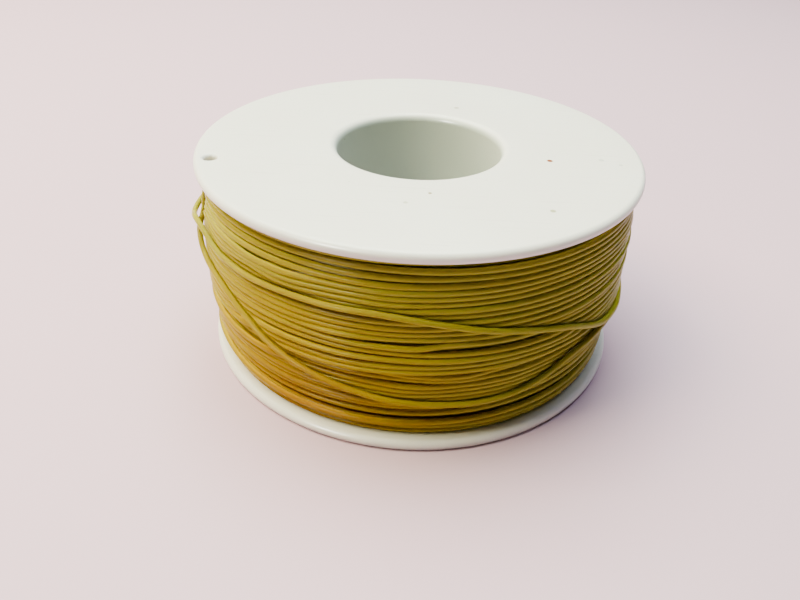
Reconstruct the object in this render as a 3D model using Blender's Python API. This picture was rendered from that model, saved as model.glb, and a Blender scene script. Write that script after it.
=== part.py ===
"""A full spool of thin hook-up wire: the two moulded halves of the spool, the winding on its hub, and the
wire's two loose stretches. Metres, +Z up along the spool's axis, origin under the lower flange's middle."""

import math

import bmesh
import bpy
from mathutils import Vector

# Driving dimensions
FLANGE_DIAMETER = 0.0900
OVERALL_HEIGHT = 0.0426
FLANGE_THICKNESS = 0.0022
BORE_DIAMETER = 0.0337
HUB_WALL = 0.0020
WIRE_DIAMETER = 0.0011
GAP = 0.0003  # left between pieces that touch

# Details of the moulding
BORE_ROUND = 0.0017  # where the bore opens into an outer face
HUB_ROUND = 0.0008  # where the hub meets a flange's inner face
LAP_LENGTH = 0.0040  # how far the upper half's hub reaches into the lower half's
END_HOLE_DIAMETER = 0.0022  # takes the wire's outer end, one in each flange
END_HOLE_RADIUS = 0.0417
END_HOLE_AZIMUTH = -163.3  # degrees about +Z from +X

# The winding's barrel shape, under its outermost scattered turns
WINDING_EDGE_RADIUS = 0.0407
WINDING_MIDDLE_RADIUS = 0.0434
WINDING_FULLNESS = 0.7  # below 1, the barrel is fuller near its ends

# Derived sizes
FLANGE_RADIUS = FLANGE_DIAMETER / 2
BORE_RADIUS = BORE_DIAMETER / 2
HUB_RADIUS = BORE_RADIUS + HUB_WALL
LAP_RADIUS = BORE_RADIUS + HUB_WALL / 2
MIDDLE_HEIGHT = OVERALL_HEIGHT / 2

# How finely round shapes are divided
SEGMENTS = 72
ROUND_STEPS = 3
RIM_STEPS = 6
WINDING_STEPS = 12
HOLE_SEGMENTS = 24
TUBE_BEVEL = 2
TUBE_POINT_SPACING = 3 * WIRE_DIAMETER
CURVE_SAMPLES = 24  # between two route points, before the tube's points are spaced out
SHARP_ANGLE = math.radians(35)

# Route points: azimuth in degrees, distance from the axis and height in millimetres.
# The outer end: from the upper end hole, inside the hook of the last turn, then across the front, where
# it hangs low, and round to the right.
WIRE_END_ROUTE = [
    (-163.3, 41.7, 41.5),
    (-163.3, 41.7, 40.3),
    (-163.0, 42.2, 38.9),
    (-162.7, 42.9, 37.4),
    (-162.5, 43.5, 35.9),
    (-162.3, 43.8, 34.4),
    (-162.1, 44.0, 33.0),
    (-161.9, 44.4, 31.6),
    (-161.5, 45.0, 30.2),
    (-160.8, 45.5, 28.6),
    (-158.8, 45.6, 26.7),
    (-155.8, 45.4, 25.2),
    (-151, 45.1, 24.2),
    (-143, 44.7, 22.8),
    (-134, 44.5, 20.3),
    (-125, 44.4, 17.2),
    (-114, 44.2, 14.6),
    (-102, 44.0, 12.6),
    (-90, 43.9, 11.2),
    (-76, 43.9, 10.6),
    (-65, 43.9, 10.9),
    (-56, 44.0, 12.4),
    (-48, 44.2, 14.5),
    (-38, 44.5, 15.9),
    (-24, 44.7, 16.1),
    (-9, 44.5, 16.1),
    (5.6, 44.4, 16.1),
]
# The last turn, gone slack: from the right across the front, outside the wire's end where it hooks
# round it, then on round the back and down to where the wire's end begins.
SLACK_TURN_ROUTE = [
    (6, 44.4, 17.7),
    (-8, 44.7, 17.8),
    (-22, 45.2, 18.0),
    (-31, 45.4, 18.4),
    (-37, 45.2, 19.0),
    (-42, 44.9, 20.3),
    (-50, 44.6, 22.7),
    (-60, 44.4, 24.8),
    (-72, 44.3, 26.8),
    (-84, 44.2, 28.9),
    (-96, 44.1, 30.2),
    (-110, 44.1, 30.2),
    (-128, 44.2, 29.8),
    (-141, 44.4, 29.7),
    (-147, 44.7, 30.2),
    (-151, 45.1, 31.3),
    (-154.5, 45.6, 32.2),
    (-158.5, 46.0, 32.2),
    (-162.5, 46.1, 31.4),
    (-166, 45.9, 31.1),
    (-169.5, 45.2, 31.4),
    (-174, 44.4, 31.5),
    (-180, 44.2, 31.4),
    (-186, 44.2, 31.3),
    (-197, 44.2, 31.0),
    (-210, 44.2, 30.6),
    (-226, 44.3, 29.2),
    (-244, 44.3, 27.2),
    (-263, 44.3, 24.8),
    (-282, 44.3, 22.2),
    (-301, 44.3, 19.7),
    (-320, 44.3, 17.6),
    (-337, 44.4, 16.3),
    (-354, 44.4, 16.1),
]


def clear_scene():
    for scene_object in list(bpy.data.objects):
        bpy.data.objects.remove(scene_object)


def make_material(name, colour, roughness):
    material = bpy.data.materials.new(name)
    material.use_nodes = True
    shader = material.node_tree.nodes["Principled BSDF"]
    shader.inputs["Base Color"].default_value = (*colour, 1)
    shader.inputs["Roughness"].default_value = roughness
    shader.inputs["Metallic"].default_value = 0
    material.diffuse_color = (*colour, 1)
    return material


def arc(centre, radius, start, end, steps):
    """Points on an arc in the section plane, from one angle to another in degrees."""
    points = []
    for step in range(steps + 1):
        angle = math.radians(start + (end - start) * step / steps)
        points.append((centre[0] + radius * math.cos(angle), centre[1] + radius * math.sin(angle)))
    return points


def turned(name, outline, material, parent):
    """A solid of revolution about +Z from a closed outline of (radius, height) points."""
    shape = bmesh.new()
    corners = [shape.verts.new((radius, 0, height)) for radius, height in outline]
    edges = [shape.edges.new((corners[i - 1], corner)) for i, corner in enumerate(corners)]
    bmesh.ops.spin(
        shape,
        geom=corners + edges,
        axis=(0, 0, 1),
        cent=(0, 0, 0),
        angle=math.tau,
        steps=SEGMENTS,
    )
    bmesh.ops.remove_doubles(shape, verts=shape.verts, dist=1e-6)
    bmesh.ops.recalc_face_normals(shape, faces=shape.faces)
    mesh = bpy.data.meshes.new(name)
    shape.to_mesh(mesh)
    shape.free()
    mesh.shade_smooth()
    mesh.set_sharp_from_angle(angle=SHARP_ANGLE)
    mesh.materials.append(material)
    return placed(name, mesh, parent)


def placed(name, data, parent):
    piece = bpy.data.objects.new(name, data)
    bpy.context.scene.collection.objects.link(piece)
    piece.parent = parent
    return piece


def half_outline(hub_end):
    """Section of a spool half, with its outer face at height 0 and its hub rising to hub_end."""
    rim = FLANGE_THICKNESS / 2
    bore_corner = arc((BORE_RADIUS + BORE_ROUND, BORE_ROUND), BORE_ROUND, 180, 270, ROUND_STEPS)
    rim_round = arc((FLANGE_RADIUS - rim, rim), rim, -90, 90, RIM_STEPS)
    hub_corner = arc(
        (HUB_RADIUS + HUB_ROUND, FLANGE_THICKNESS + HUB_ROUND), HUB_ROUND, 270, 180, ROUND_STEPS
    )
    return bore_corner + rim_round + hub_corner + hub_end


def stepped_hub_end(lap_radius, inner_height):
    """The hub wall's end, whose outer part stops at the middle and inner part at its own height."""
    outer_height = MIDDLE_HEIGHT - GAP / 2
    return [
        (HUB_RADIUS, outer_height),
        (lap_radius, outer_height),
        (lap_radius, inner_height),
        (BORE_RADIUS, inner_height),
    ]


def lower_spool_half(material, cutter, parent):
    socket = stepped_hub_end(LAP_RADIUS + GAP / 2, MIDDLE_HEIGHT - LAP_LENGTH - GAP / 2)
    half = turned("lower_spool_half", half_outline(socket), material, parent)
    drill(half, cutter)


def upper_spool_half(material, cutter, parent):
    spigot = stepped_hub_end(LAP_RADIUS - GAP / 2, MIDDLE_HEIGHT + LAP_LENGTH - GAP / 2)
    outline = [(radius, OVERALL_HEIGHT - height) for radius, height in half_outline(spigot)]
    half = turned("upper_spool_half", outline, material, parent)
    drill(half, cutter)


def end_hole_cutter(parent):
    """A rod through both flanges where the wire's end can be tucked away."""
    azimuth = math.radians(END_HOLE_AZIMUTH)
    shape = bmesh.new()
    bmesh.ops.create_cone(
        shape,
        cap_ends=True,
        segments=HOLE_SEGMENTS,
        radius1=END_HOLE_DIAMETER / 2,
        radius2=END_HOLE_DIAMETER / 2,
        depth=OVERALL_HEIGHT + 2 * FLANGE_THICKNESS,
    )
    mesh = bpy.data.meshes.new("end_hole_cutter")
    shape.to_mesh(mesh)
    shape.free()
    cutter = placed("end_hole_cutter", mesh, parent)
    cutter.location = (
        END_HOLE_RADIUS * math.cos(azimuth),
        END_HOLE_RADIUS * math.sin(azimuth),
        MIDDLE_HEIGHT,
    )
    cutter.hide_render = True
    cutter.display_type = "WIRE"
    return cutter


def drill(piece, cutter):
    boolean = piece.modifiers.new("end_hole", "BOOLEAN")
    boolean.operation = "DIFFERENCE"
    boolean.solver = "EXACT"
    boolean.object = cutter


def wire_winding(material, parent):
    """The turns as one barrel-shaped ring between the flanges, clear of the hub's rounded corners."""
    inner = HUB_RADIUS + GAP
    bottom = FLANGE_THICKNESS + GAP
    top = OVERALL_HEIGHT - bottom
    outline = [(inner + HUB_ROUND, bottom)]
    for step in range(WINDING_STEPS + 1):
        share = step / WINDING_STEPS
        bulge = max(0.0, math.sin(math.pi * share)) ** WINDING_FULLNESS
        radius = WINDING_EDGE_RADIUS + (WINDING_MIDDLE_RADIUS - WINDING_EDGE_RADIUS) * bulge
        outline.append((radius, bottom + (top - bottom) * share))
    outline.append((inner + HUB_ROUND, top))
    outline.append((inner, top - HUB_ROUND))
    outline.append((inner, bottom + HUB_ROUND))
    turned("wire_winding", outline, material, parent)


def route_point(azimuth, radius, height):
    """A route point, from degrees and millimetres to metres."""
    angle = math.radians(azimuth)
    return Vector((radius * math.cos(angle), radius * math.sin(angle), height)) / 1000


def smooth_curve(points):
    """Close-set points on a Catmull-Rom curve through all of the given ones."""
    ends = [2 * points[0] - points[1], *points, 2 * points[-1] - points[-2]]
    curve = []
    for before, start, end, after in zip(ends, ends[1:], ends[2:], ends[3:]):
        for sample in range(CURVE_SAMPLES):
            t = sample / CURVE_SAMPLES
            curve.append(
                (
                    2 * start
                    + (end - before) * t
                    + (2 * before - 5 * start + 4 * end - after) * t**2
                    + (3 * start - before - 3 * end + after) * t**3
                )
                / 2
            )
    return [*curve, points[-1]]


def evenly_spaced(curve, spacing):
    """The curve again, with its points about one spacing apart."""
    distances = [0.0]
    for start, end in zip(curve, curve[1:]):
        distances.append(distances[-1] + (end - start).length)
    count = max(1, round(distances[-1] / spacing))
    spaced = []
    piece = 0
    for index in range(count):
        wanted = distances[-1] * index / count
        while distances[piece + 1] <= wanted:
            piece += 1
        share = (wanted - distances[piece]) / (distances[piece + 1] - distances[piece])
        spaced.append(curve[piece].lerp(curve[piece + 1], share))
    return [*spaced, curve[-1]]


def wire_tube(name, route, material, parent):
    """A stretch of the insulated wire along a route."""
    points = evenly_spaced(smooth_curve([route_point(*place) for place in route]), TUBE_POINT_SPACING)
    curve = bpy.data.curves.new(name, "CURVE")
    curve.dimensions = "3D"
    curve.bevel_depth = WIRE_DIAMETER / 2
    curve.bevel_resolution = TUBE_BEVEL
    curve.use_fill_caps = True
    spline = curve.splines.new("POLY")
    spline.points.add(len(points) - 1)
    for spline_point, place in zip(spline.points, points):
        spline_point.co = (*place, 1)
    curve.materials.append(material)
    placed(name, curve, parent)


def build():
    clear_scene()
    spool = placed("spool_of_wire", None, None)
    white_plastic = make_material("white_moulded_plastic", (0.80, 0.79, 0.75), 0.38)
    yellow_jacket = make_material("yellow_wire_jacket", (0.62, 0.46, 0.03), 0.42)
    cutter = end_hole_cutter(spool)
    lower_spool_half(white_plastic, cutter, spool)
    upper_spool_half(white_plastic, cutter, spool)
    wire_winding(yellow_jacket, spool)
    wire_tube("slack_turn", SLACK_TURN_ROUTE, yellow_jacket, spool)
    wire_tube("wire_end", WIRE_END_ROUTE, yellow_jacket, spool)


build()
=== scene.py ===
"""The looks of a full spool of thin yellow hook-up wire: a white moulded spool in two halves, the
winding laid turn by turn, and its slack last turn and end. Metres, +Z up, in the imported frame."""

import math

import bmesh
import bpy
import numpy as np
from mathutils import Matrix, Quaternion, Vector


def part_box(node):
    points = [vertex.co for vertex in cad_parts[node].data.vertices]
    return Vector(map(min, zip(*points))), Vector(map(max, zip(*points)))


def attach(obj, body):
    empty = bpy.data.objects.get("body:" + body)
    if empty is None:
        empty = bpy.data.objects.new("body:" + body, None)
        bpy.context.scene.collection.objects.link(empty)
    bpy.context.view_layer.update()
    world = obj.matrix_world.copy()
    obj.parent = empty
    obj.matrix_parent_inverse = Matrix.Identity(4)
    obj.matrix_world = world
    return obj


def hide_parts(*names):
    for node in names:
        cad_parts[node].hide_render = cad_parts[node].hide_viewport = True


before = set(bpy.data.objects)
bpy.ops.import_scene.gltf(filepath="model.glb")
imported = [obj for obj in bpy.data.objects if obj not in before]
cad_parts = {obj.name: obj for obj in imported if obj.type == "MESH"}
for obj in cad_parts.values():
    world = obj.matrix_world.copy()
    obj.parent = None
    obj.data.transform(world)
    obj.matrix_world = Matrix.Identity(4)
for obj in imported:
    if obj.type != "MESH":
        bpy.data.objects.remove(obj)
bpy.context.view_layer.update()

# Sizes read from the frame
LOWER_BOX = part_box("lower_spool_half")
UPPER_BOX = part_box("upper_spool_half")
FLANGE_RADIUS = (LOWER_BOX[1].x - LOWER_BOX[0].x) / 2
OVERALL_HEIGHT = UPPER_BOX[1].z

# Sizes of the moulding and the wire
FLANGE_THICKNESS = 0.0022
BORE_RADIUS = 0.01685
HUB_WALL = 0.0020
BORE_ROUND = 0.0017  # where the bore opens into an outer face
HUB_ROUND = 0.0008  # where the hub meets a flange's inner face
LAP_LENGTH = 0.0040  # how far the upper half's hub reaches into the lower half's
GAP = 0.0003
SEAM_ROUND = 0.0002  # on the edges that meet at the seam in the bore
END_HOLE_RADIUS = 0.0417
END_HOLE_BORE = 0.0013
END_HOLE_ROUND = 0.0007
END_HOLE_AZIMUTH = math.radians(-163.3)
WIRE_DIAMETER = 0.0011

# How finely round shapes are divided
LATHE_SEGMENTS = 256
HOLE_SEGMENTS = 48
CORE_SEGMENTS = 96
BORE_STEPS = 10
RIM_STEPS = 16
HUB_STEPS = 5
FLARE_STEPS = 6
CREST_STEPS = 5
FACE_RINGS = (0.5, 0.62, 0.74, 0.86)  # shares of the flange's radius
STATIONS = 180  # along one turn of the winding
TURN_SIDES = 10
CORD_SIDES = 16
CORD_SPACING = 0.0004
CURVE_SAMPLES = 24
SHARP_ANGLE = math.radians(35)
MERGE_DISTANCE = 1e-7

# The slack last turn, from where it leaves the winding, then the wire's end back to its hole:
# azimuth in degrees, distance from the axis and height in millimetres.
SLACK_TURN_ROUTE = [
    (6, 44.4, 17.7),
    (-8, 44.7, 17.8),
    (-22, 45.2, 18.0),
    (-31, 45.4, 18.4),
    (-37, 45.2, 19.0),
    (-42, 44.9, 20.3),
    (-50, 44.6, 22.7),
    (-60, 44.4, 24.8),
    (-72, 44.3, 26.8),
    (-84, 44.2, 28.9),
    (-96, 44.1, 30.2),
    (-110, 44.1, 30.2),
    (-128, 44.2, 29.8),
    (-141, 44.4, 29.7),
    (-147, 44.7, 30.2),
    (-151, 45.1, 31.3),
    (-154.5, 45.6, 32.2),
    (-158.5, 46.0, 32.2),
    (-162.5, 46.1, 31.4),
    (-166, 45.9, 31.1),
    (-169.5, 45.2, 31.4),
    (-174, 44.4, 31.5),
    (-180, 44.2, 31.4),
    (-186, 44.2, 31.3),
    (-197, 44.2, 31.0),
    (-210, 44.2, 30.6),
    (-226, 44.3, 29.2),
    (-244, 44.3, 27.2),
    (-263, 44.3, 24.8),
    (-282, 44.3, 22.2),
    (-301, 44.3, 19.7),
    (-320, 44.3, 17.6),
    (-337, 44.4, 16.3),
]
WIRE_END_ROUTE = [
    (-163.3, 41.7, 41.5),
    (-163.3, 41.7, 40.3),
    (-163.0, 42.2, 38.9),
    (-162.7, 42.9, 37.4),
    (-162.5, 43.5, 35.9),
    (-162.3, 43.8, 34.4),
    (-162.1, 44.0, 33.0),
    (-161.9, 44.4, 31.6),
    (-161.5, 45.0, 30.2),
    (-160.8, 45.5, 28.6),
    (-158.8, 45.6, 26.7),
    (-155.8, 45.4, 25.2),
    (-151, 45.1, 24.2),
    (-143, 44.7, 22.8),
    (-134, 44.5, 20.3),
    (-125, 44.4, 17.2),
    (-114, 44.2, 14.6),
    (-102, 44.0, 12.6),
    (-90, 43.9, 11.2),
    (-76, 43.9, 10.6),
    (-65, 43.9, 10.9),
    (-56, 44.0, 12.4),
    (-48, 44.2, 14.5),
    (-38, 44.5, 15.9),
    (-24, 44.7, 16.1),
    (-9, 44.5, 16.1),
    (5.6, 44.4, 16.1),
]

# The winding's layers
SEED = 4
START_AZIMUTH = math.radians(SLACK_TURN_ROUTE[0][0])
LAST_TURN_HEIGHT = SLACK_TURN_ROUTE[0][2] / 1000  # where the last turn comes loose
EDGE_CLEARANCE = 0.00010  # between the outermost turns and a flange
LOWEST_TURN = FLANGE_THICKNESS + EDGE_CLEARANCE + WIRE_DIAMETER / 2
HIGHEST_TURN = OVERALL_HEIGHT - LOWEST_TURN
TURNS_PER_LAYER = 31
LAST_LAYER_TURNS = 18
LAYER_RISE = 0.00102  # one layer on another, in its grooves and over its crests
LOW_BLEND = 0.0009  # height over which the last layer gives way to the one below it

# How the turns wander up and down, and how close they lie
WANDER = 0.00022  # of the neat turns in the last layer
LOOSE_WANDER = 0.00042  # of the turns below it
SHORT_WANDER = 26  # stations from one free height to the next
LONG_WANDER = 95
CLOSEST_TURNS = 0.96  # of a diameter, where one turn presses into the next
USUAL_SPACING = 1.02  # of a diameter, before it varies
SPACING_LOSS = 0.1  # of a diameter, for a usual variation
SPACING_STEP = 40  # stations from one free spacing to the next
RELAXING_STEPS = 160
SMOOTHED_STEPS = 150  # the last few only push turns apart
SMOOTHINGS = 2  # in each of those steps
SMOOTHING = 0.2
PUSH = 0.45  # share of an overlap that each turn gives way in a step
KERNEL_REACH = 3  # stations to each side, in the last smoothing of the heights
CLIMB = 0.0015  # how far the low turns climb on the +X side
CLIMB_AZIMUTH = -28
CLIMB_WIDTH = 30
STRAYS = 6  # short stretches that ride over a neighbouring turn, all below the last layer
STRAY_PLACES = (0.03, 0.40)  # shares of the layer's length
STRAY_REACHES = (0.10, 0.25)  # of a turn, to each side
STRAY_SHIFTS = (0.5, 1.0)  # of a diameter

# Places where turns part and show the layer below: azimuths in degrees, height and half width in
# millimetres
OPEN_PLACES = [
    (-101, -77, 15.5, 0.34),
    (-87, -69, 17.7, 0.18),
    (-72, -58, 16.6, 0.18),
    (-99, -92, 35.8, 0.10),
    (-87, -74, 23.6, 0.14),
    (-111, -101, 19.8, 0.14),
    (-54, -35, 16.9, 0.16),
    (-138, -117, 34.4, 0.10),
    (-138, -124, 31.8, 0.10),
]

# How far out the turns lie
BARREL_EDGE = 0.0423
BARREL_RISE = 0.0016
BARREL_FULLNESS = 0.7
SIDE_BULGE = 0.00075
LOWER_SHRINK = 0.00050  # how much further in the turns below the last layer lie
RIGHT_SHRINK = 0.00045  # and how much more on the +X side
LOWER_FOOT = 0.0080  # over this height the winding fills out again down to the lower flange
LIFT = 0.00010  # of turns that were laid slack
LIFT_STEP = 50  # stations from one free lift to the next
PROUD = 0.00070  # how far the outermost turns may stand out of the barrel's surface
TAUT_STEPS = 120
TAUT_GIVE = 0.00005  # how far a turn pulled tight may sink into what bears it
PRESS_ANGLE = math.radians(4)  # how far along the turns the loose wire presses them in
PRESS_WIDTH = 0.0016  # and how far across them
PRESS_DEPTH = 0.0006
PRESS_CLOSENESS = 0.98  # of a diameter, from the loose wire's middle to that of a turn under it
LEAVING_STATIONS = 24  # over which the last turn comes out to become the loose wire
CORE_DEPTH = 2.6  # layers, from the outermost turns' middles to the crests that never show

# The white plastic
WHITES = [(0.35, (0.67, 0.655, 0.62)), (0.65, (0.69, 0.69, 0.66))]
PLASTIC_ROUGHNESS = (0.27, 0.37)
NOISE_MIDDLE = (0.3, 0.7)  # where most of a noise texture's values lie
SCRATCH_SETS = [(0.4, (60, 1500, 60)), (2.1, (45, 1900, 45))]  # turn about +Z, and stretch
SCRATCH_CRESTS = (0.66, 0.76)  # only the noise's crests are scratches
SCRATCH_DIRT = 0.16
DIRT = (0.42, 0.40, 0.36)
FLAT_FACES = (0.9, 0.99)  # how upright a surface's normal is before it is scratched
# Painted shade on the bore's wall: its colour, and where it fades out
BORE_PAINTED_SHADE = (0.43, 0.48, 0.44)
BORE_PAINTED_SHADE_ENDS = (0.0001, 0.0007)  # distances out from the bore's wall
SPECK_SOFTNESS = 1.4  # a speck's radius over that of its solid middle
# Specks of dirt on the upper face: place and radius in millimetres, and colour
SPECKS = [
    (25.8, -6.4, 0.68, (0.20, 0.055, 0.01)),
    (2.3, -23.5, 0.40, (0.22, 0.18, 0.08)),
    (23.3, -28.3, 0.60, (0.34, 0.34, 0.22)),
    (-1.9, -27.6, 0.50, (0.46, 0.46, 0.38)),
    (36.2, -4.9, 0.60, (0.46, 0.48, 0.46)),
    (39.6, -7.0, 0.50, (0.48, 0.49, 0.46)),
    (8.2, 22.7, 0.70, (0.40, 0.38, 0.32)),
]

# The yellow jacket. Painted warm bounce light makes it reddest about one place low on the -X and -Y
# side, and greener away from it, most slowly along Y. The yellows run from the reddest to the greenest.
WIRE_MAP = "wire"  # the UV map that holds length along the wire, and turn round it
YELLOWS = [(0.0, (0.258, 0.115, 0.001)), (0.5, (0.268, 0.192, 0.001)), (1.0, (0.257, 0.245, 0.022))]
PAINTED_BOUNCE_PLACE = (-0.021, -0.038, 0.003)
PAINTED_BOUNCE_STRETCH = (1.0, 0.5, 1.0)
PAINTED_BOUNCE_REACH = (0.002, 0.0446)
GREENEST = 0.85  # along the yellows, before the wire's own unevenness is added
UNEVENNESS = 0.3
CREVICE_ENDS = (-0.2, 0.6)  # how far the surface faces outward, from full painted crevice light to none
LOOSE_PAINTED_CREVICE_LIGHT = 1.1  # how much brighter the sides are, as painted light in the crevices
WOUND_PAINTED_CREVICE_LIGHT = 2.0
RIDGE_PITCH = 0.00045  # of the conductor's lay, felt through the jacket
RIDGE_STARTS = 4
RIDGE_STRENGTH = 0.15
RIDGE_HEIGHT = 0.00004
JACKET_ROUGHNESS = (0.15, 0.23)

# The stage
CAMERA_PLACE = (0, -0.1334, 0.0948)
CAMERA_ANGLES = (-1.198, 34.434, 2.1227)  # to the right, down, and roll, in degrees
FOCAL_LENGTH = 30.61
SENSOR_WIDTH = 36
NEAREST_SEEN = 0.005
FLOOR_RADIUS = 1.0
FLOOR_SEGMENTS = 96
FLOOR_COLOUR = (0.50, 0.34, 0.43)
FLOOR_ROUGHNESS = 0.9
AMBIENT = ((0.90, 0.95, 1.0), 0.01)  # colour and strength
BACKDROP = ((0.95, 0.93, 0.94), 0.9)
# Lights: azimuth and elevation in degrees, distance, size, power and colour, then whether each one
# shows in reflections, and whether it lights surfaces
LIGHTS = {
    "left_high": (-165, 56, 0.6, 0.30, 8.6, (1.0, 0.93, 0.58), False, True),
    "left_back": (150, 25, 0.9, 0.7, 14.0, (1.0, 0.72, 0.46), False, True),
    "back_left_high": (120, 72, 0.9, 0.7, 28.0, (0.85, 0.98, 0.79), True, True),
    "back_right_high": (60, 72, 0.9, 0.7, 9.0, (0.75, 0.82, 1.0), False, True),
    "front_glint": (-132, 32, 0.9, 0.1, 20.0, (1.0, 1.0, 0.9), True, False),
}


# ---------------------------------------------------------------- nodes


def new_material(name):
    material = bpy.data.materials.new(name)
    material.use_nodes = True
    tree = material.node_tree
    return material, tree, tree.nodes["Principled BSDF"]


def feed(tree, value, socket):
    """Give a socket a constant, or link another socket to it."""
    if hasattr(value, "links"):
        tree.links.new(value, socket)
    elif socket.type == "RGBA":
        socket.default_value = (*value, 1)
    else:
        socket.default_value = value


def own_place(tree):
    """Places on a piece, in the frame's own space, because every piece stays at the origin."""
    return tree.nodes.new("ShaderNodeTexCoord").outputs["Object"]


def noise(tree, place, scale, detail, roughness=0.5):
    """A noise texture's value."""
    texture = tree.nodes.new("ShaderNodeTexNoise")
    texture.inputs["Scale"].default_value = scale
    texture.inputs["Detail"].default_value = detail
    texture.inputs["Roughness"].default_value = roughness
    tree.links.new(place, texture.inputs["Vector"])
    return texture.outputs["Fac"]


def ramp(tree, value, stops):
    """A colour ramp through (position, colour) stops."""
    node = tree.nodes.new("ShaderNodeValToRGB")
    elements = node.color_ramp.elements
    while len(elements) < len(stops):
        elements.new(0.5)
    for element, (position, colour) in zip(elements, stops):
        element.position = position
        element.color = (*colour, 1)
    tree.links.new(value, node.inputs["Fac"])
    return node.outputs["Color"]


def remap(tree, value, before, after):
    """A value carried from one range to another, and held at the ends."""
    node = tree.nodes.new("ShaderNodeMapRange")
    sockets = ("From Min", "From Max", "To Min", "To Max")
    for socket, number in zip(sockets, (*before, *after)):
        node.inputs[socket].default_value = number
    tree.links.new(value, node.inputs["Value"])
    return node.outputs["Result"]


def mix(tree, factor, first, second, blend="MIX"):
    """Two colours mixed. The colour sockets share their names with others, so they go by number."""
    node = tree.nodes.new("ShaderNodeMix")
    node.data_type = "RGBA"
    node.blend_type = blend
    for index, value in ((0, factor), (6, first), (7, second)):
        feed(tree, value, node.inputs[index])
    return node.outputs[2]


def calculate(tree, operation, *values):
    """A math node on one or two values."""
    node = tree.nodes.new("ShaderNodeMath")
    node.operation = operation
    for value, socket in zip(values, node.inputs):
        feed(tree, value, socket)
    return node.outputs["Value"]


def calculate_vector(tree, operation, *vectors):
    """A vector math node on one or two vectors. A length or a distance comes out as a value."""
    node = tree.nodes.new("ShaderNodeVectorMath")
    node.operation = operation
    for vector, socket in zip(vectors, node.inputs):
        feed(tree, vector, socket)
    return node.outputs["Value" if operation in ("LENGTH", "DISTANCE") else "Vector"]


def bump(tree, height, strength, distance, normal=None):
    node = tree.nodes.new("ShaderNodeBump")
    node.inputs["Strength"].default_value = strength
    node.inputs["Distance"].default_value = distance
    tree.links.new(height, node.inputs["Height"])
    if normal is not None:
        tree.links.new(normal, node.inputs["Normal"])
    return node.outputs["Normal"]


def scatter_light(shader, weight, radius):
    """Let that share of the light go under the surface, as far as the radius says for each colour."""
    shader.inputs["Subsurface Weight"].default_value = weight
    shader.inputs["Subsurface Radius"].default_value = radius
    shader.inputs["Subsurface Scale"].default_value = 1.0


# ---------------------------------------------------------------- materials


def scratches(tree, place):
    """Where the flat faces have fine scratches from handling, from 0 to 1."""
    sets = []
    for turn, stretch in SCRATCH_SETS:
        mapping = tree.nodes.new("ShaderNodeMapping")
        mapping.inputs["Rotation"].default_value = (0, 0, turn)
        mapping.inputs["Scale"].default_value = stretch
        tree.links.new(place, mapping.inputs["Vector"])
        streaks = noise(tree, mapping.outputs["Vector"], scale=1.0, detail=1.0)
        sets.append(remap(tree, streaks, SCRATCH_CRESTS, (0.0, 1.0)))
    normal = tree.nodes.new("ShaderNodeNewGeometry").outputs["Normal"]
    split = tree.nodes.new("ShaderNodeSeparateXYZ")
    tree.links.new(normal, split.inputs["Vector"])
    upright = calculate(tree, "ABSOLUTE", split.outputs["Z"])
    flat = remap(tree, upright, FLAT_FACES, (0.0, 1.0))
    return calculate(tree, "MULTIPLY", calculate(tree, "MAXIMUM", *sets), flat)


def paint_bore_shade(tree, place, colour):
    """The colour, with painted shade darkening the bore's wall."""
    outward = calculate_vector(tree, "MULTIPLY", place, (1.0, 1.0, 0.0))
    distance = calculate_vector(tree, "LENGTH", outward)
    ends = [BORE_RADIUS + end for end in BORE_PAINTED_SHADE_ENDS]
    # painted shade, darkest on the bore's wall
    return mix(tree, remap(tree, distance, ends, (1.0, 0.0)), colour, BORE_PAINTED_SHADE)


def add_specks(tree, place, colour):
    """The colour, with the specks of dirt on it."""
    for x, y, radius, dirt in SPECKS:
        middle = (x / 1000, y / 1000, OVERALL_HEIGHT)
        distance = calculate_vector(tree, "DISTANCE", place, middle)
        ends = (radius / 1000 / SPECK_SOFTNESS, radius / 1000)
        colour = mix(tree, remap(tree, distance, ends, (1.0, 0.0)), colour, dirt)
    return colour


def white_plastic():
    """Satin white polystyrene, faintly stained, with fine scratches, a few specks of dirt, and painted
    shade on the bore's wall.
    """
    material, tree, shader = new_material("white_spool_plastic")
    place = own_place(tree)
    colour = ramp(tree, noise(tree, place, scale=38.0, detail=3.0), WHITES)
    scratched = scratches(tree, place)
    worn = calculate(tree, "MULTIPLY", scratched, SCRATCH_DIRT)
    colour = mix(tree, worn, colour, DIRT)
    colour = add_specks(tree, place, paint_bore_shade(tree, place, colour))
    tree.links.new(colour, shader.inputs["Base Color"])
    grain = noise(tree, place, scale=900.0, detail=4.0, roughness=0.7)
    satin = remap(tree, grain, NOISE_MIDDLE, PLASTIC_ROUGHNESS)
    tree.links.new(calculate(tree, "ADD", satin, worn), shader.inputs["Roughness"])
    fine = bump(tree, grain, strength=0.05, distance=0.00005)
    scored = bump(tree, scratched, strength=-0.15, distance=0.00003, normal=fine)
    tree.links.new(scored, shader.inputs["Normal"])
    scatter_light(shader, 0.12, (0.0016, 0.0013, 0.0010))
    return material


def jacket_yellow(tree, lengthwise):
    """The jacket's yellow, greener away from its reddest place, where painted warm bounce light is
    strongest, and uneven along the wire.
    """
    squeezed = calculate_vector(tree, "MULTIPLY", own_place(tree), PAINTED_BOUNCE_STRETCH)
    reddest = [place * stretch for place, stretch in zip(PAINTED_BOUNCE_PLACE, PAINTED_BOUNCE_STRETCH)]
    away = calculate_vector(tree, "DISTANCE", squeezed, reddest)
    # painted warm bounce light, reddest at one place and fading away from it
    greener = remap(tree, away, PAINTED_BOUNCE_REACH, (0.0, GREENEST))
    tone = noise(tree, lengthwise, scale=12.0, detail=3.0, roughness=0.6)
    uneven = remap(tree, tone, NOISE_MIDDLE, (0.0, UNEVENNESS))
    return ramp(tree, calculate(tree, "ADD", greener, uneven), YELLOWS)


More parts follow.
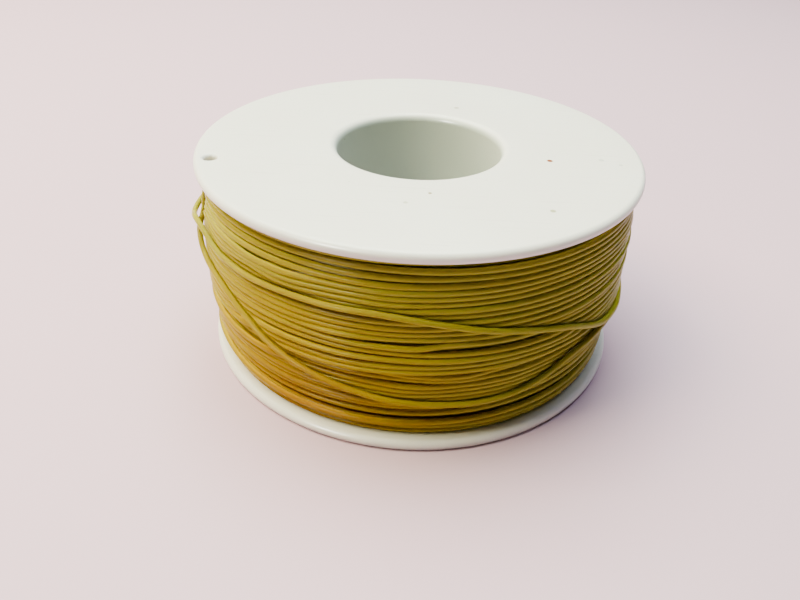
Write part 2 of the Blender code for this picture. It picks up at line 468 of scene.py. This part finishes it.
def paint_crevice_light(tree, turn, colour, crevice_light):
    """The colour as it is where the wire faces outward, and brighter round its sides by the given
    factor, as painted light in the crevices between turns.
    """
    facing = calculate(tree, "COSINE", calculate(tree, "MULTIPLY", turn, math.tau))
    # painted light in the crevices: the wire's sides and back are made brighter
    tone = remap(tree, facing, CREVICE_ENDS, (crevice_light, 1.0))
    grey = tree.nodes.new("ShaderNodeCombineColor")
    for channel in ("Red", "Green", "Blue"):
        tree.links.new(tone, grey.inputs[channel])
    return mix(tree, 1.0, colour, grey.outputs["Color"], "MULTIPLY")


def conductor_ridges(tree, length, turn):
    """The conductor's lay, as heights of slanting ridges round the wire."""
    along = calculate(tree, "MULTIPLY", length, math.tau / RIDGE_PITCH)
    slant = calculate(tree, "MULTIPLY", turn, math.tau * RIDGE_STARTS)
    return calculate(tree, "SINE", calculate(tree, "ADD", along, slant))


def yellow_wire(name, crevice_light):
    """Glossy yellow jacket drawn thin over a stranded conductor, whose lay shows as faint slanting
    ridges. Painted warm bounce light makes it redder in one place, and painted light in the crevices
    makes it brighter round its sides than where it faces outward."""
    material, tree, shader = new_material(name)
    own = tree.nodes.new("ShaderNodeUVMap")
    own.uv_map = WIRE_MAP
    split = tree.nodes.new("ShaderNodeSeparateXYZ")
    tree.links.new(own.outputs["UV"], split.inputs["Vector"])
    length = split.outputs["X"]
    turn = split.outputs["Y"]
    join = tree.nodes.new("ShaderNodeCombineXYZ")
    tree.links.new(length, join.inputs["X"])
    lengthwise = join.outputs["Vector"]
    colour = paint_crevice_light(tree, turn, jacket_yellow(tree, lengthwise), crevice_light)
    tree.links.new(colour, shader.inputs["Base Color"])
    ridges = conductor_ridges(tree, length, turn)
    tree.links.new(bump(tree, ridges, RIDGE_STRENGTH, RIDGE_HEIGHT), shader.inputs["Normal"])
    rub = noise(tree, lengthwise, scale=120.0, detail=3.0)
    tree.links.new(remap(tree, rub, NOISE_MIDDLE, JACKET_ROUGHNESS), shader.inputs["Roughness"])
    shader.inputs["Specular IOR Level"].default_value = 0.06
    shader.inputs["Specular Tint"].default_value = (1.0, 0.90, 0.55, 1)
    scatter_light(shader, 0.7, (0.0008, 0.0006, 0.0002))
    return material


# ---------------------------------------------------------------- the spool


def put(name, mesh, material, replaced):
    """A finished piece, in the scene and on the spool's only body."""
    piece = bpy.data.objects.new(name, mesh)
    bpy.context.scene.collection.objects.link(piece)
    mesh.materials.clear()
    mesh.materials.append(material)
    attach(piece, "root")
    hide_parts(*replaced)
    return piece


def arc(centre, radius, start, end, steps):
    """Points on an arc in the section plane, from one angle to another in degrees."""
    points = []
    for step in range(steps + 1):
        angle = math.radians(start + (end - start) * step / steps)
        x = centre[0] + radius * math.cos(angle)
        points.append((x, centre[1] + radius * math.sin(angle)))
    return points


def lathe(name, outline, segments, joined=True):
    """A closed mesh turned about +Z from an outline of (radius, height) points. The outline's ends
    are joined to each other, or else both lie on the axis."""
    shape = bmesh.new()
    corners = [shape.verts.new((radius, 0, height)) for radius, height in outline]
    before = [corners[-1], *corners] if joined else corners
    after = corners if joined else corners[1:]
    edges = [shape.edges.new(pair) for pair in zip(before, after)]
    bmesh.ops.spin(
        shape,
        geom=corners + edges,
        axis=(0, 0, 1),
        cent=(0, 0, 0),
        angle=math.tau,
        steps=segments,
    )
    bmesh.ops.remove_doubles(shape, verts=shape.verts, dist=MERGE_DISTANCE)
    bmesh.ops.recalc_face_normals(shape, faces=shape.faces)
    mesh = bpy.data.meshes.new(name)
    shape.to_mesh(mesh)
    shape.free()
    return mesh


def half_outline(hub_end):
    """Section of a spool half, with its outer face at height 0 and its hub rising to hub_end."""
    rim = FLANGE_THICKNESS / 2
    hub = BORE_RADIUS + HUB_WALL
    hub_middle = (hub + HUB_ROUND, FLANGE_THICKNESS + HUB_ROUND)
    return [
        *arc((BORE_RADIUS + BORE_ROUND, BORE_ROUND), BORE_ROUND, 180, 270, BORE_STEPS),
        *[(FLANGE_RADIUS * share, 0.0) for share in FACE_RINGS],
        *arc((FLANGE_RADIUS - rim, rim), rim, -90, 90, RIM_STEPS),
        *[(FLANGE_RADIUS * share, FLANGE_THICKNESS) for share in FACE_RINGS[:0:-1]],
        *arc(hub_middle, HUB_ROUND, 270, 180, HUB_STEPS),
        *hub_end,
    ]


def stepped_hub_end(lap_radius, inner_height):
    """The hub wall's end, with its edge in the bore slightly rounded where the halves' seam shows."""
    outer_height = OVERALL_HEIGHT / 2 - GAP / 2
    return [
        (BORE_RADIUS + HUB_WALL, outer_height),
        (lap_radius, outer_height),
        (lap_radius, inner_height),
        (BORE_RADIUS + SEAM_ROUND, inner_height),
        (BORE_RADIUS, inner_height - SEAM_ROUND),
    ]


def end_hole_cutter():
    """A turned plug, flared where it meets both faces of a flange, that cuts the hole for the
    wire's end."""
    wide = END_HOLE_BORE + END_HOLE_ROUND
    top = FLANGE_THICKNESS + END_HOLE_ROUND
    upper_middle = (wide, FLANGE_THICKNESS - END_HOLE_ROUND)
    outline = [
        (0.0, -END_HOLE_ROUND),
        (wide, -END_HOLE_ROUND),
        *arc((wide, END_HOLE_ROUND), END_HOLE_ROUND, 270, 180, FLARE_STEPS),
        *arc(upper_middle, END_HOLE_ROUND, 180, 90, FLARE_STEPS),
        (wide, top),
        (0.0, top),
    ]
    return lathe("end_hole_cutter", outline, HOLE_SEGMENTS, joined=False)


def drilled(mesh, height):
    """The mesh with the end hole cut through a flange whose lower face is at that height."""
    body = bpy.data.objects.new("drilled", mesh)
    cutter = bpy.data.objects.new("cutter", end_hole_cutter())
    cutter.location = (
        END_HOLE_RADIUS * math.cos(END_HOLE_AZIMUTH),
        END_HOLE_RADIUS * math.sin(END_HOLE_AZIMUTH),
        height,
    )
    for helper in (body, cutter):
        bpy.context.scene.collection.objects.link(helper)
    boolean = body.modifiers.new("end_hole", "BOOLEAN")
    boolean.operation = "DIFFERENCE"
    boolean.solver = "EXACT"
    boolean.object = cutter
    bpy.context.view_layer.update()
    graph = bpy.context.evaluated_depsgraph_get()
    cut = bpy.data.meshes.new_from_object(body.evaluated_get(graph))
    for helper in (body, cutter):
        bpy.data.objects.remove(helper)
    cut.shade_smooth()
    cut.set_sharp_from_angle(angle=SHARP_ANGLE)
    return cut


def spool_halves(material):
    """Both mouldings. The upper one is the lower one's section turned over, with the other lap."""
    lap = BORE_RADIUS + HUB_WALL / 2
    middle = OVERALL_HEIGHT / 2
    socket = stepped_hub_end(lap + GAP / 2, middle - LAP_LENGTH - GAP / 2)
    lower = drilled(lathe("lower_half", half_outline(socket), LATHE_SEGMENTS), 0.0)
    put("lower_spool_moulding", lower, material, ["lower_spool_half"])
    spigot = stepped_hub_end(lap - GAP / 2, middle + LAP_LENGTH - GAP / 2)
    outline = [(radius, OVERALL_HEIGHT - height) for radius, height in half_outline(spigot)]
    upper = lathe("upper_half", outline, LATHE_SEGMENTS)
    upper = drilled(upper, OVERALL_HEIGHT - FLANGE_THICKNESS)
    put("upper_spool_moulding", upper, material, ["upper_spool_half"])


# ---------------------------------------------------------------- curves and tubes


def route_point(azimuth, radius, height):
    """A route point, from degrees and millimetres to metres."""
    angle = math.radians(azimuth)
    return Vector((radius * math.cos(angle), radius * math.sin(angle), height)) / 1000


def smooth_curve(points):
    """Close-set points on a Catmull-Rom curve through all of the given ones."""
    ends = [2 * points[0] - points[1], *points, 2 * points[-1] - points[-2]]
    curve = []
    for before, start, end, after in zip(ends, ends[1:], ends[2:], ends[3:]):
        slope = end - before
        bend = 2 * before - 5 * start + 4 * end - after
        twist = 3 * start - before - 3 * end + after
        for sample in range(CURVE_SAMPLES):
            share = sample / CURVE_SAMPLES
            curve.append((2 * start + slope * share + bend * share**2 + twist * share**3) / 2)
    return np.array([*curve, points[-1]])


def distances(path):
    """How far along the path each of its points is."""
    steps = np.linalg.norm(np.diff(path, axis=0), axis=1)
    return np.concatenate([[0.0], np.cumsum(steps)])


def evenly_spaced(curve, spacing):
    """The curve's points about one spacing apart."""
    distance = distances(curve)
    wanted = np.linspace(0, distance[-1], max(2, round(distance[-1] / spacing)))
    return np.stack([np.interp(wanted, distance, curve[:, axis]) for axis in range(3)], axis=1)


def tube_points(path, sides):
    """Rings of points round the path, each starting where the wire faces away from the axis."""
    tangent = np.gradient(path, axis=0)
    tangent /= np.linalg.norm(tangent, axis=1)[:, None]
    outward = path * (1, 1, 0)
    outward -= tangent * (outward * tangent).sum(axis=1)[:, None]
    outward /= np.linalg.norm(outward, axis=1)[:, None]
    sideways = np.cross(tangent, outward)
    angles = np.arange(sides) * math.tau / sides
    rings = (
        path[:, None, :]
        + WIRE_DIAMETER / 2 * np.cos(angles)[None, :, None] * outward[:, None, :]
        + WIRE_DIAMETER / 2 * np.sin(angles)[None, :, None] * sideways[:, None, :]
    )
    return rings.reshape(-1, 3)


def tube_faces(count, sides):
    """The points at the corners of each face, four-sided between rings and capped at both ends, and
    where each face's corners start."""
    ring = np.arange(count - 1)[:, None] * sides
    side = np.arange(sides)[None, :]
    after = (side + 1) % sides
    quads = [ring + side, ring + after, ring + sides + after, ring + sides + side]
    quads = np.stack(quads, axis=-1).ravel()
    caps = np.concatenate([np.arange(sides)[::-1], (count - 1) * sides + np.arange(sides)])
    starts = [np.arange(len(quads) // 4) * 4, len(quads) + np.arange(2) * sides]
    return np.concatenate([quads, caps]), np.concatenate(starts)


def tube_map(path, sides):
    """For each corner of each face, its length along the wire in metres and its turn round it."""
    distance = distances(path)
    near = distance[:-1, None]
    far = distance[1:, None]
    side = np.arange(sides)[None, :]
    shape = np.zeros((len(path) - 1, sides, 4))
    along = np.stack([near, near, far, far], axis=-1) + shape
    around = np.stack([side, side + 1, side + 1, side], axis=-1) / sides + shape
    own = np.stack([along.ravel(), around.ravel()], axis=-1)
    return np.concatenate([own, np.zeros((2 * sides, 2))])


def tube_mesh(name, path, sides):
    """A closed tube of wire along a path, with its own length and turn round it as a UV map."""
    points = tube_points(path, sides)
    corners, starts = tube_faces(len(path), sides)
    mesh = bpy.data.meshes.new(name)
    mesh.vertices.add(len(points))
    mesh.vertices.foreach_set("co", points.astype(np.float32).ravel())
    mesh.loops.add(len(corners))
    mesh.loops.foreach_set("vertex_index", corners.astype(np.int32))
    mesh.polygons.add(len(starts))
    mesh.polygons.foreach_set("loop_start", starts.astype(np.int32))
    own = mesh.uv_layers.new(name=WIRE_MAP)
    own.data.foreach_set("uv", tube_map(path, sides).astype(np.float32).ravel())
    mesh.update(calc_edges=True)
    mesh.validate()
    mesh.shade_smooth()
    return mesh


# ---------------------------------------------------------------- the winding


def ease(share):
    """A share from 0 to 1 that starts and ends gently."""
    return share * share * (3 - 2 * share)


def drift(random, count, step):
    """Smooth random values about zero and about 1 in size, with one free value every step stations."""
    knots = random.normal(0, 1, int(count / step) + 4)
    place = np.arange(count) / step
    index = place.astype(int)
    share = ease(place - index)
    return knots[index] * (1 - share) + knots[index + 1] * share


def low_share(heights):
    """How far a height counts as below the last layer, from 0 to 1."""
    return 1 / (1 + np.exp((heights - LAST_TURN_HEIGHT) / LOW_BLEND))


def station_azimuths(count):
    """Azimuths in degrees of that many stations, from -180 to 180, falling along the wire."""
    turned = np.arange(count) % STATIONS / STATIONS * 360
    return (math.degrees(START_AZIMUTH) - turned + 180) % 360 - 180


def open_places(azimuth):
    """For each open place, the stations in it, its height, and half its width there."""
    places = []
    for low, high, height, half_width in OPEN_PLACES:
        share = (azimuth - (low + high) / 2) / ((high - low) / 2)
        half = WIRE_DIAMETER / 2 + half_width / 1000 * np.clip(1 - share * share, 0, 1)
        places.append((np.abs(share) < 1, height / 1000, half))
    return places


def relax(heights, start, end, closest, places):
    """The heights, pushed apart until no two turns lie closer than they can, and parted at the open
    places."""
    direction = math.copysign(1, end - start)
    for step in range(RELAXING_STEPS):
        for _ in range(SMOOTHINGS if step < SMOOTHED_STEPS else 0):
            heights[1:-1] += SMOOTHING * (heights[:-2] - 2 * heights[1:-1] + heights[2:])
        heights[0], heights[-1] = start, end
        between = direction * (heights[STATIONS:] - heights[:-STATIONS])
        push = np.clip(closest[STATIONS:] - between, 0, None) * PUSH * direction
        heights[STATIONS:] += push
        heights[:-STATIONS] -= push
        for inside, height, half in places:
            above = inside & (heights >= height)
            heights = np.where(above, np.maximum(heights, height + half), heights)
            below = inside & (heights < height)
            heights = np.where(below, np.minimum(heights, height - half), heights)
        heights = np.clip(heights, LOWEST_TURN, HIGHEST_TURN)
    return heights


def lay_layer(random, turns, start, end, strays):
    """Heights of the stations along one layer: a helix that wanders and climbs, relaxed, with some
    stretches that stray."""
    count = turns * STATIONS + 1
    along = np.arange(count)
    heights = start + (end - start) * along / (turns * STATIONS)
    wander = WANDER + (LOOSE_WANDER - WANDER) * low_share(heights)
    heights += wander * (drift(random, count, SHORT_WANDER) + drift(random, count, LONG_WANDER))
    azimuth = station_azimuths(count)
    climb = np.exp(-(((azimuth - CLIMB_AZIMUTH) / CLIMB_WIDTH) ** 2))
    heights += CLIMB * climb * np.sin(math.pi * np.clip(heights / LAST_TURN_HEIGHT, 0, 1)) ** 2
    spacing = USUAL_SPACING - SPACING_LOSS * np.abs(drift(random, count, SPACING_STEP))
    closest = WIRE_DIAMETER * np.clip(spacing, CLOSEST_TURNS, 1.0)
    heights = relax(heights, start, end, closest, open_places(azimuth))
    for _ in range(strays):
        centre = random.uniform(*STRAY_PLACES) * count
        half = random.uniform(*STRAY_REACHES) * STATIONS
        shift = random.choice((-1, 1)) * random.uniform(*STRAY_SHIFTS) * WIRE_DIAMETER
        share = np.clip(np.abs(along - centre) / half, 0, 1)
        heights += shift * (0.5 + 0.5 * np.cos(math.pi * share))
    return np.clip(heights, LOWEST_TURN, HIGHEST_TURN)


def winding_heights(random):
    """Heights of every station of the visible layers, as one wire."""
    layers = [
        lay_layer(random, TURNS_PER_LAYER, HIGHEST_TURN, LOWEST_TURN, 0),
        lay_layer(random, TURNS_PER_LAYER, LOWEST_TURN, HIGHEST_TURN, STRAYS),
        lay_layer(random, LAST_LAYER_TURNS, HIGHEST_TURN, LAST_TURN_HEIGHT, 0),
    ]
    heights = np.concatenate([layer[:-1] for layer in layers])
    kernel = np.hanning(2 * KERNEL_REACH + 3)[1:-1]
    padded = np.pad(heights, KERNEL_REACH, mode="edge")
    return np.convolve(padded, kernel / kernel.sum(), "valid")


def barrel(heights, azimuths):
    """Where the outermost turns' middles lie on average."""
    share = (heights - FLANGE_THICKNESS) / (OVERALL_HEIGHT - 2 * FLANGE_THICKNESS)
    rise = BARREL_RISE * np.sin(math.pi * np.clip(share, 0, 1)) ** BARREL_FULLNESS
    foot = np.clip((heights - FLANGE_THICKNESS) / LOWER_FOOT, 0, 1)
    shrink = low_share(heights) * foot * (LOWER_SHRINK + RIGHT_SHRINK * np.cos(azimuths))
    bulge = SIDE_BULGE * np.cos(azimuths) ** 2
    return BARREL_EDGE + rise + bulge - WIRE_DIAMETER / 2 - shrink


def clear_of(places, heights, radii, diameter):
    """How far out a turn at these places has to lie to be a diameter from the turns it touches."""
    apart = np.abs(places[None, :] - heights)
    reach = np.sqrt(np.maximum(diameter**2 - apart**2, 0))
    return np.where(apart < diameter, radii + reach, 0).max(axis=0, initial=0)


def cord_ceiling(cord_path, azimuths, heights):
    """How far out a turn may lie at each station so that the loose wire passes over it."""
    ceiling = np.full(heights.shape, math.inf)
    cord_azimuth = np.arctan2(cord_path[:, 1], cord_path[:, 0])
    cord_radius = np.hypot(cord_path[:, 0], cord_path[:, 1])
    for index, azimuth in enumerate(azimuths):
        apart = (cord_azimuth - azimuth + math.pi) % math.tau - math.pi
        near = np.abs(apart) < PRESS_ANGLE
        if not near.any():
            continue
        rise = np.abs(heights[index] - cord_path[near, 2]) / PRESS_WIDTH
        aside = np.abs(apart[near]) / PRESS_ANGLE
        touching = cord_radius[near] - PRESS_CLOSENESS * WIRE_DIAMETER
        ceiling[index] = (touching + (rise**2 + aside**2) * PRESS_DEPTH).min()
    return ceiling


def taut(bearing, first):
    """Distances from the axis of a stretch pulled tight over what bears it."""
    step = math.tau / STATIONS * BARREL_EDGE
    sag = step * step / (2 * BARREL_EDGE)
    radii = bearing.copy()
    for _ in range(TAUT_STEPS):
        before = np.concatenate([[first], radii[:-1]])
        after = np.concatenate([radii[1:], [radii[-1]]])
        radii = np.maximum(bearing, (before + after) / 2 - sag)
    kernel = np.array([1, 2, 3, 2, 1]) / 9
    padded = np.concatenate([[first, first], radii, [radii[-1], radii[-1]]])
    return np.maximum(np.convolve(padded, kernel, "valid"), bearing - TAUT_GIVE)


def lay_winding(cord_path):
    """The visible layers as one wire: the stations' azimuths along a turn, and the heights and
    distances from the axis of turns by stations."""
    random = np.random.default_rng(SEED)
    heights = winding_heights(random)
    lift = LIFT * np.abs(drift(random, len(heights), LIFT_STEP)).reshape(-1, STATIONS)
    heights = heights.reshape(-1, STATIONS)
    azimuths = START_AZIMUTH - np.arange(STATIONS) * math.tau / STATIONS
    limit = FLANGE_RADIUS - EDGE_CLEARANCE - WIRE_DIAMETER / 2
    radii = np.zeros_like(heights)
    for turn, places in enumerate(heights):
        surface = barrel(places, azimuths)
        bearing = surface - (2 - low_share(places)) * LAYER_RISE
        first = turn // TURNS_PER_LAYER * TURNS_PER_LAYER  # of this layer's turns
        beneath = slice(0, first)
        beside = slice(first, turn)
        for others, diameter in (
            (beneath, WIRE_DIAMETER),
            (beside, CLOSEST_TURNS * WIRE_DIAMETER),
        ):
            clear = clear_of(places, heights[others], radii[others], diameter)
            bearing = np.maximum(bearing, clear)
        ceiling = np.minimum(surface + PROUD, limit)
        ceiling = np.minimum(ceiling, cord_ceiling(cord_path, azimuths, places))
        bearing = np.minimum(bearing + lift[turn], ceiling)
        start = radii[turn - 1][-1] if turn else bearing[0]
        radii[turn] = np.minimum(taut(bearing, start), ceiling)
    held = radii[-1, -LEAVING_STATIONS]
    outward = np.hypot(*cord_path[0, :2]) - held
    leaving = ease(np.linspace(0, 1, LEAVING_STATIONS))
    radii[-1, -LEAVING_STATIONS:] = held + outward * leaving
    return azimuths, heights, radii


def core_mesh():
    """The turns that never show, as one ring with a crest for each, in the spool's middle."""
    pitch = (HIGHEST_TURN - LOWEST_TURN) / TURNS_PER_LAYER
    inner = BORE_RADIUS + HUB_WALL + GAP + HUB_ROUND
    outline = [(inner, HIGHEST_TURN), (inner, LOWEST_TURN)]
    for turn in range(TURNS_PER_LAYER):
        middle = LOWEST_TURN + pitch * (turn + 0.5)
        crest = float(barrel(middle, math.pi / 2)) - CORE_DEPTH * LAYER_RISE
        outline += arc((crest - pitch / 2, middle), pitch / 2, -90, 90, CREST_STEPS)[:-1]
    outline.append((outline[-1][0], HIGHEST_TURN))
    mesh = lathe("winding_core", outline, CORE_SEGMENTS)
    own = mesh.uv_layers.new(name=WIRE_MAP)
    for loop in mesh.loops:
        place = mesh.vertices[loop.vertex_index].co
        own.data[loop.index].uv = (math.atan2(place.y, place.x) * BARREL_EDGE, 0)
    mesh.shade_smooth()
    mesh.set_sharp_from_angle(angle=SHARP_ANGLE)
    return mesh


def winding(material, cord_path):
    """The wound turns, in pieces of whole layers, over a ring that stands for the turns beneath."""
    azimuths, heights, radii = lay_winding(cord_path)
    turns = [radii * np.cos(azimuths), radii * np.sin(azimuths), heights]
    path = np.stack([values.ravel() for values in turns], axis=1)
    path = np.vstack([path, cord_path[0]])
    layer = TURNS_PER_LAYER * STATIONS
    spans = [
        ("inner_layer_turns", 0, layer + 1),
        ("middle_layer_turns", layer, 2 * layer + 1),
        ("outer_layer_turns", 2 * layer, len(path)),
    ]
    for name, first, end in spans:
        piece = tube_mesh(name, path[first:end], TURN_SIDES)
        put(name, piece, material, ["wire_winding"])
    put("winding_core", core_mesh(), material, ["wire_winding"])


def build_cord(material):
    """The loose wire, from the winding's last turn to the hole in the upper flange, as one length."""
    route = [route_point(*place) for place in SLACK_TURN_ROUTE + WIRE_END_ROUTE[::-1]]
    path = evenly_spaced(smooth_curve(route), CORD_SPACING)
    mesh = tube_mesh("loose_wire", path, CORD_SIDES)
    piece = put("loose_wire", mesh, material, ["slack_turn", "wire_end"])
    return path


# ---------------------------------------------------------------- stage


def add_camera():
    camera = bpy.data.cameras.new("camera")
    camera.lens = FOCAL_LENGTH
    camera.sensor_width = SENSOR_WIDTH
    camera.clip_start = NEAREST_SEEN
    view = bpy.data.objects.new("camera", camera)
    bpy.context.scene.collection.objects.link(view)
    right, down, roll = (math.radians(angle) for angle in CAMERA_ANGLES)
    level = math.cos(down)
    forward = Vector((math.sin(right) * level, math.cos(right) * level, -math.sin(down)))
    view.location = CAMERA_PLACE
    view.rotation_mode = "QUATERNION"
    view.rotation_quaternion = forward.to_track_quat("-Z", "Y") @ Quaternion((0, 0, 1), roll)
    bpy.context.scene.camera = view


def add_floor():
    shape = bmesh.new()
    bmesh.ops.create_circle(shape, cap_ends=True, segments=FLOOR_SEGMENTS, radius=FLOOR_RADIUS)
    mesh = bpy.data.meshes.new("floor")
    shape.to_mesh(mesh)
    shape.free()
    floor = bpy.data.objects.new("floor", mesh)
    bpy.context.scene.collection.objects.link(floor)
    material, tree, shader = new_material("pale_paper")
    feed(tree, FLOOR_COLOUR, shader.inputs["Base Color"])
    feed(tree, FLOOR_ROUGHNESS, shader.inputs["Roughness"])
    mesh.materials.append(material)


def add_light(name, azimuth, elevation, distance, size, power, colour, reflected, diffuse):
    """A square soft light aimed at the spool's middle."""
    light = bpy.data.lights.new(name, "AREA")
    light.size = size
    light.energy = power
    light.color = colour
    lamp = bpy.data.objects.new(name, light)
    lamp.visible_glossy = reflected
    lamp.visible_diffuse = diffuse
    bpy.context.scene.collection.objects.link(lamp)
    turn = math.radians(azimuth)
    rise = math.radians(elevation)
    level = math.cos(rise)
    direction = Vector((math.cos(turn) * level, math.sin(turn) * level, math.sin(rise)))
    lamp.location = direction * distance + Vector((0, 0, OVERALL_HEIGHT / 2))
    lamp.rotation_mode = "QUATERNION"
    lamp.rotation_quaternion = (-direction).to_track_quat("-Z", "Y")


def add_world():
    """Faint even light, and a pale backdrop that only the camera sees."""
    world = bpy.data.worlds.new("studio")
    world.use_nodes = True
    tree = world.node_tree
    seen = tree.nodes.new("ShaderNodeMixShader")
    path = tree.nodes.new("ShaderNodeLightPath")
    tree.links.new(path.outputs["Is Camera Ray"], seen.inputs["Fac"])
    backgrounds = (tree.nodes["Background"], tree.nodes.new("ShaderNodeBackground"))
    for index, (colour, strength) in enumerate((AMBIENT, BACKDROP)):
        feed(tree, colour, backgrounds[index].inputs["Color"])
        feed(tree, strength, backgrounds[index].inputs["Strength"])
        tree.links.new(backgrounds[index].outputs["Background"], seen.inputs[index + 1])
    tree.links.new(seen.outputs["Shader"], tree.nodes["World Output"].inputs["Surface"])
    bpy.context.scene.world = world


def main():
    add_camera()
    cord_path = build_cord(yellow_wire("loose_wire_jacket", LOOSE_PAINTED_CREVICE_LIGHT))
    add_floor()
    add_world()
    for name, settings in LIGHTS.items():
        add_light(name, *settings)
    spool_halves(white_plastic())
    winding(yellow_wire("wound_wire_jacket", WOUND_PAINTED_CREVICE_LIGHT), cord_path)
    bpy.context.view_layer.update()


main()
